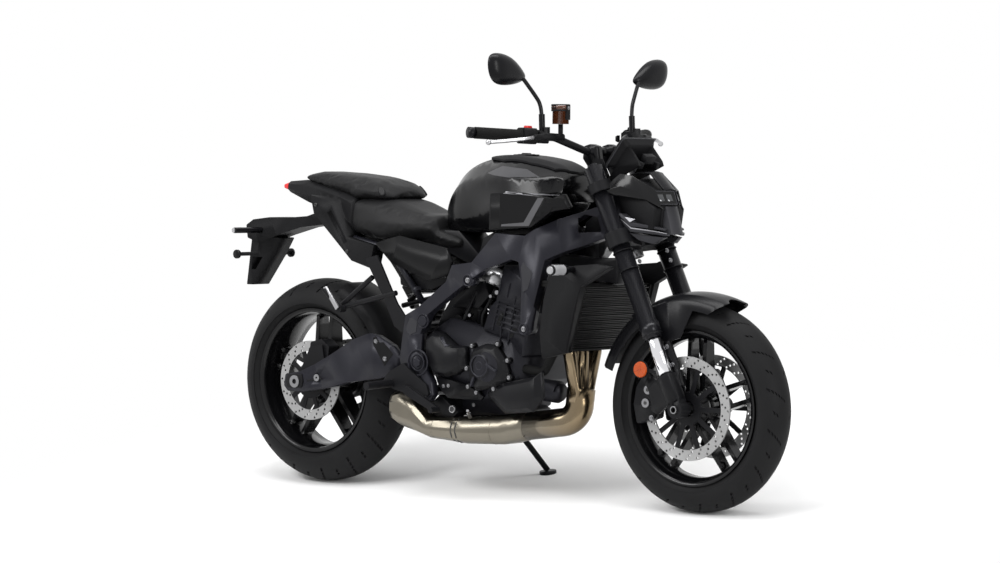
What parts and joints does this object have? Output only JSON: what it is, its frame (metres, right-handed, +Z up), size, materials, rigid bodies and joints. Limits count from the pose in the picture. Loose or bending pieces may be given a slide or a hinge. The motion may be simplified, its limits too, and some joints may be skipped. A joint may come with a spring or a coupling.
{
  "type": "standard motorcycle",
  "caption": "Naked standard motorcycle parked on its side stand, with turning wheels, steering fork, folding stand, open engine, chain drive and under-slung silencer.",
  "frame": {"origin": "middle of the parked motorcycle's outline, on the ground", "axes": "+X the way the motorcycle faces, +Y to its left, +Z up; it leans to +Y onto its side stand"},
  "size_m": [2.0475, 0.8722, 1.355],
  "materials": {
    "tyre": "matt",
    "wheel_black": "gloss",
    "disc_steel": "brushed",
    "sprocket_steel": "satin",
    "axle_steel": "satin",
    "fork_black": "satin",
    "fork_chrome": "polished",
    "cast_black": "satin",
    "caliper_black": "satin",
    "bar_black": "satin",
    "grip_rubber": "matt",
    "matt_plastic": "matt",
    "reservoir_plastic": "translucent brown",
    "lever_alloy": "satin",
    "mirror_glass": "polished",
    "lamp_lens": "clear",
    "frame_graphite": "satin",
    "chain_steel": "satin",
    "engine_graphite": "satin",
    "cast_alloy": "cast",
    "radiator_black": "matt",
    "header_steel": "heat tinted",
    "silencer_steel": "satin",
    "tank_paint": "gloss",
    "seat_vinyl": "matt grained",
    "tail_lens": "gloss",
    "spring_steel": "satin"
  },
  "bodies": {
    "front_wheel": {"front_tyre": "tyre", "front_rim": "wheel_black", "front_discs": "disc_steel"},
    "steering": {"front_axle": "axle_steel", "fork_outer_tubes": "fork_black", "fork_inner_tubes": "fork_chrome", "axle_holders": "cast_black", "triple_clamps": "cast_black", "stem_nut": "axle_steel", "front_fender": "matt_plastic", "front_calipers": "caliper_black", "handlebar": "bar_black", "grips": "grip_rubber", "hand_controls": "matt_plastic", "fluid_reservoir": "reservoir_plastic", "levers": "lever_alloy", "mirrors": "matt_plastic", "mirror_glasses": "mirror_glass", "meter": "matt_plastic", "headlamp_unit": "lamp_lens", "headlamp_cowl": "matt_plastic"},
    "rear_wheel": {"rear_tyre": "tyre", "rear_rim": "wheel_black", "rear_disc": "disc_steel", "rear_sprocket": "sprocket_steel"},
    "stand": {"side_stand": "bar_black"},
    "root": {"main_frame": "frame_graphite", "rear_subframe": "bar_black", "swingarm": "frame_graphite", "stand_bobbins": "axle_steel", "rear_axle": "axle_steel", "drive_chain": "chain_steel", "crankcase": "engine_graphite", "cylinder_block": "engine_graphite", "engine_covers": "engine_graphite", "throttle_bodies": "cast_alloy", "radiator": "radiator_black", "radiator_shrouds": "matt_plastic", "coolant_hose": "grip_rubber", "exhaust_pipes": "header_steel", "silencer": "silencer_steel", "fuel_tank": "tank_paint", "tank_top_cover": "matt_plastic", "side_covers": "tank_paint", "rider_seat": "seat_vinyl", "pillion_seat": "seat_vinyl", "tail_cowl": "matt_plastic", "tail_lamp": "tail_lens", "plate_holder": "matt_plastic", "turn_signals": "matt_plastic", "rider_footrests": "cast_black", "passenger_footrests": "cast_black", "shock_absorber": "spring_steel", "rear_hugger": "matt_plastic", "rear_caliper": "caliper_black"}
  },
  "joints": [
    {"name": "steering", "type": "hinge", "parent": "root", "child": "steering", "pos_m": [0.44526, -0.05379, 0.83064], "axis": [-0.4174, 0.1578, 0.8949], "range_deg": [-32, 32]},
    {"name": "front_wheel_spin", "type": "hinge", "parent": "steering", "child": "front_wheel", "pos_m": [0.724, -0.14791, 0.29687], "axis": [0, 0.9848, -0.1736], "continuous": true},
    {"name": "rear_wheel_spin", "type": "hinge", "parent": "root", "child": "rear_wheel", "pos_m": [-0.706, -0.1453, 0.31164], "axis": [0, 0.9848, -0.1736], "continuous": true},
    {"name": "side_stand_fold", "type": "hinge", "parent": "root", "child": "stand", "pos_m": [-0.141, -0.02277, 0.22911], "axis": [-0.1341, 0.9775, 0.1629], "range_deg": [0, 109]}
  ]
}
